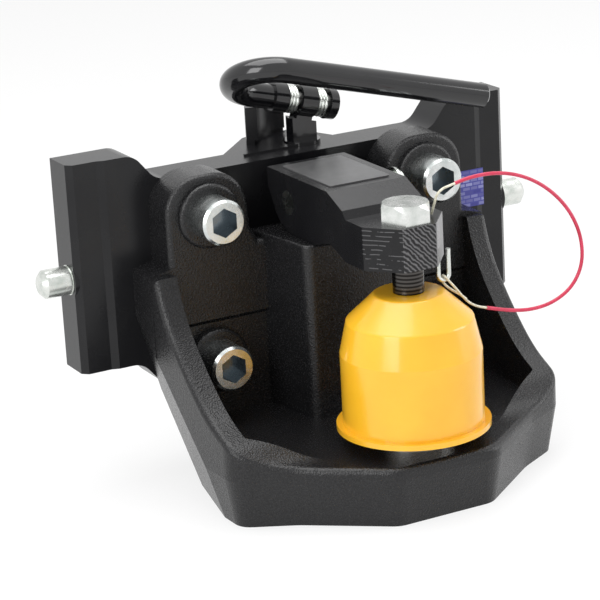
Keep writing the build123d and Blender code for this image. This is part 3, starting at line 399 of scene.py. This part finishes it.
FINISHES = {
    "ball_bracket": casting,
    "slide_plate": paint,
    "pin_bushes": paint,
    "lever_shaft": gloss_paint,
    "handle_bar": gloss_paint,
    "handle_left_collar": gloss_paint,
    "handle_right_collar": gloss_paint,
    "handle_hinge_pin": steel,
    "handle_spring": zinc,
    "left_locking_pin": zinc,
    "right_locking_pin": zinc,
    "pinion": steel,
    "pinion_cross_pin": steel,
    "bracket_bolts": head_zinc_socket_shade,
    "coupling_ball": steel,
    "ball_washer": zinc,
    "ball_nut": zinc,
    "ball_cap": yellow,
    "hold_down_arm": arm_paint,
    "hold_down_hinge_pin": zinc,
    "hinge_ring": zinc,
    "hold_down_bolt": bolt_zinc,
    "type_plate": plate_face,
    "lanyard_staple": zinc,
}


def dress(name, material):
    """Gives a solid its finish."""
    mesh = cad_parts[name].data
    mesh.materials.clear()
    mesh.materials.append(material)


for name, material in FINISHES.items():
    dress(name, material)


# Lanyard
def wire_route():
    """The whole wire's control points, from the bolt's head to the staple."""
    upper = [place(x, y, z) for (x, z), y in zip(UPPER_END, UPPER_END_Y)]
    rest = [place(x, LANYARD_Y, z) for x, z in SLEEVE + LOWER_END]
    return upper + rest


def smooth_curve(name, points, radius):
    """One open NURBS spline on its control points."""
    data = bpy.data.curves.new(name, "CURVE")
    data.dimensions = "3D"
    data.bevel_depth = radius
    data.bevel_resolution = 3
    data.use_fill_caps = True
    data.resolution_u = 12
    spline = data.splines.new("NURBS")
    spline.points.add(len(points) - 1)
    for control, point in zip(spline.points, points):
        control.co = (*point, 1.0)
    spline.order_u = 3
    spline.use_endpoint_u = True
    made = bpy.data.objects.new(name, data)
    bpy.context.scene.collection.objects.link(made)
    return made


def tube(name, points, radius, material):
    """A closed round tube along many points, as a mesh."""
    data = bpy.data.curves.new(name, "CURVE")
    data.dimensions = "3D"
    data.bevel_depth = radius
    data.bevel_resolution = 3
    data.use_fill_caps = True
    spline = data.splines.new("POLY")
    spline.points.add(len(points) - 1)
    for control, point in zip(spline.points, points):
        control.co = (*point, 1.0)
    shape = bpy.data.objects.new(name, data)
    bpy.context.scene.collection.objects.link(shape)
    made = as_mesh(shape, name)
    made.data.materials.append(material)
    return made


def as_mesh(shape, name):
    """The evaluated shape as a plain mesh object; the shape itself goes."""
    graph = bpy.context.evaluated_depsgraph_get()
    mesh = bpy.data.meshes.new_from_object(shape.evaluated_get(graph))
    bpy.data.objects.remove(shape)
    mesh.name = name
    made = bpy.data.objects.new(name, mesh)
    bpy.context.scene.collection.objects.link(made)
    for face in mesh.polygons:
        face.use_smooth = True
    return made


def spline_points(points):
    """Points along the wire's own NURBS spline."""
    bare = smooth_curve("wire_line", points, 0.0)
    graph = bpy.context.evaluated_depsgraph_get()
    mesh = bpy.data.meshes.new_from_object(bare.evaluated_get(graph))
    line = [vertex.co.copy() for vertex in mesh.vertices]
    bpy.data.objects.remove(bare)
    bpy.data.meshes.remove(mesh)
    return line


def lanyard():
    """Plain wire, red sleeve and the loop at the staple, on the hold-down arm."""
    route = wire_route()
    line = spline_points(route)
    wire = smooth_curve("lanyard_wire", route, WIRE_R * MM)
    wire.data.materials.append(bare_wire)
    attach(wire, "hold_down")
    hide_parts("lanyard_upper_end", "lanyard_lower_end")
    first = nearest(line, place(SLEEVE[0][0], LANYARD_Y, SLEEVE[0][1]))
    last = nearest(line, place(SLEEVE[-1][0], LANYARD_Y, SLEEVE[-1][1]))
    sleeve = tube("lanyard_sleeve", line[first:last + 1], SLEEVE_R * MM, red_sleeve)
    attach(sleeve, "hold_down")
    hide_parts("lanyard")
    bent = [place(x, LANYARD_Y + y, z) for x, y, z in STAPLE_LOOP]
    loop = tube("staple_loop", spline_points(bent), WIRE_R * MM, bare_wire)
    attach(loop, "hold_down")


def nearest(line, point):
    """Index of the point of a line that is nearest to a place."""
    return min(range(len(line)), key=lambda index: (line[index] - point).length)


lanyard()


def sticker():
    """Bare sticker on the slide's right front face."""
    face = min(vertex.co.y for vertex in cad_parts["slide_plate"].data.vertices)
    left, low, right, high = LABEL
    shape = bmesh.new()
    bmesh.ops.create_cube(shape, size=1.0)
    size = Vector(((right - left) * MM, 0.2 * MM, (high - low) * MM))
    centre = Vector(((left + right) / 2 * MM, face, (low + high) / 2 * MM))
    bmesh.ops.scale(shape, vec=size, verts=shape.verts)
    bmesh.ops.translate(shape, vec=centre, verts=shape.verts)
    mesh = bpy.data.meshes.new("blue_sticker")
    shape.to_mesh(mesh)
    shape.free()
    mesh.materials.append(blue_label)
    made = bpy.data.objects.new("blue_sticker", mesh)
    bpy.context.scene.collection.objects.link(made)
    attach(made, "bracket")


sticker()


# Room, light and camera
def seen_white(tree, plain, white, end, share):
    """The camera, gloss and glass see a share of plain white; light comes from the plain one."""
    path = tree.nodes.new("ShaderNodeLightPath")
    shown = math_node(tree, "MAXIMUM", path.outputs["Is Camera Ray"], path.outputs["Is Glossy Ray"])
    shown = math_node(tree, "MAXIMUM", shown, path.outputs["Is Transmission Ray"])
    mix = tree.nodes.new("ShaderNodeMixShader")
    tree.links.new(math_node(tree, "MULTIPLY", shown, share), mix.inputs["Fac"])
    tree.links.new(plain.outputs[0], mix.inputs[1])
    tree.links.new(white.outputs[0], mix.inputs[2])
    tree.links.new(mix.outputs[0], end.inputs["Surface"])


def backdrop():
    """Pale floor that the camera sees as white, with the object's shadow on it."""
    low = cad_box[0][2]
    mesh = bpy.data.meshes.new("floor")
    shape = bmesh.new()
    bmesh.ops.create_grid(shape, x_segments=1, y_segments=1, size=6.0)
    shape.to_mesh(mesh)
    shape.free()
    floor = bpy.data.objects.new("floor", mesh)
    floor.location = (0.0, 0.0, low)
    bpy.context.scene.collection.objects.link(floor)
    material = bpy.data.materials.new("pale_floor")
    material.use_nodes = True
    shader = material.node_tree.nodes["Principled BSDF"]
    shader.inputs["Base Color"].default_value = (0.92, 0.92, 0.92, 1.0)
    shader.inputs["Roughness"].default_value = 0.9
    white = node(material.node_tree, "ShaderNodeEmission", Strength=1.0)
    seen_white(material.node_tree, shader, white, material.node_tree.nodes["Material Output"], 0.75)
    mesh.materials.append(material)


def world_light():
    """Even white surroundings."""
    world = bpy.data.worlds.new("studio")
    world.use_nodes = True
    bpy.context.scene.world = world
    tree = world.node_tree
    light = tree.nodes["Background"]
    light.inputs["Color"].default_value = (1.0, 1.0, 1.0, 1.0)
    light.inputs["Strength"].default_value = 0.55
    seen = node(tree, "ShaderNodeBackground", Strength=1.0)
    seen.inputs["Color"].default_value = (1.0, 1.0, 1.0, 1.0)
    seen_white(tree, light, seen, tree.nodes["World Output"], 1.0)


def softbox(name, at, towards, size, power):
    """A rectangular area lamp that faces a point."""
    lamp = bpy.data.lights.new(name, "AREA")
    lamp.shape = "RECTANGLE"
    lamp.size, lamp.size_y = size
    lamp.energy = power
    made = bpy.data.objects.new(name, lamp)
    made.location = at
    made.rotation_euler = (Vector(towards) - Vector(at)).to_track_quat("-Z", "Y").to_euler()
    bpy.context.scene.collection.objects.link(made)


def camera():
    """Camera at the photograph's viewing angle and distance."""
    azimuth = math.radians(-27.41)
    elevation = math.radians(17.55)
    roll = math.radians(-3.16)
    right = Vector((math.cos(azimuth), math.sin(azimuth), 0.0))
    back = Vector((
        math.sin(azimuth) * math.cos(elevation),
        -math.cos(azimuth) * math.cos(elevation),
        math.sin(elevation),
    ))
    up = back.cross(right)
    side = right * math.cos(roll) + up * math.sin(roll)
    top = up * math.cos(roll) - right * math.sin(roll)
    view = bpy.data.cameras.new("photo_camera")
    view.lens = 2512.33 / 600.0 * 36.0
    view.sensor_width = 36.0
    view.clip_start = 0.05
    made = bpy.data.objects.new("photo_camera", view)
    turn = Matrix((side, top, back)).transposed().to_4x4()
    made.matrix_world = Matrix.Translation(place(-751.5, -1443.9 + FRONT, 472.4)) @ turn
    bpy.context.scene.collection.objects.link(made)
    bpy.context.scene.camera = made


backdrop()
world_light()
softbox("over_light", (0.0, 0.1, 1.5), (0.0, -0.05, 0.0), (1.8, 1.4), 26.0)
softbox("left_light", (-1.5, -0.9, 0.7), (0.0, -0.1, -0.03), (0.9, 1.2), 16.0)
softbox("right_light", (1.6, -0.7, 0.5), (0.0, -0.1, 0.0), (0.7, 1.1), 9.0)
camera()
bpy.context.scene.view_settings.view_transform = "Standard"
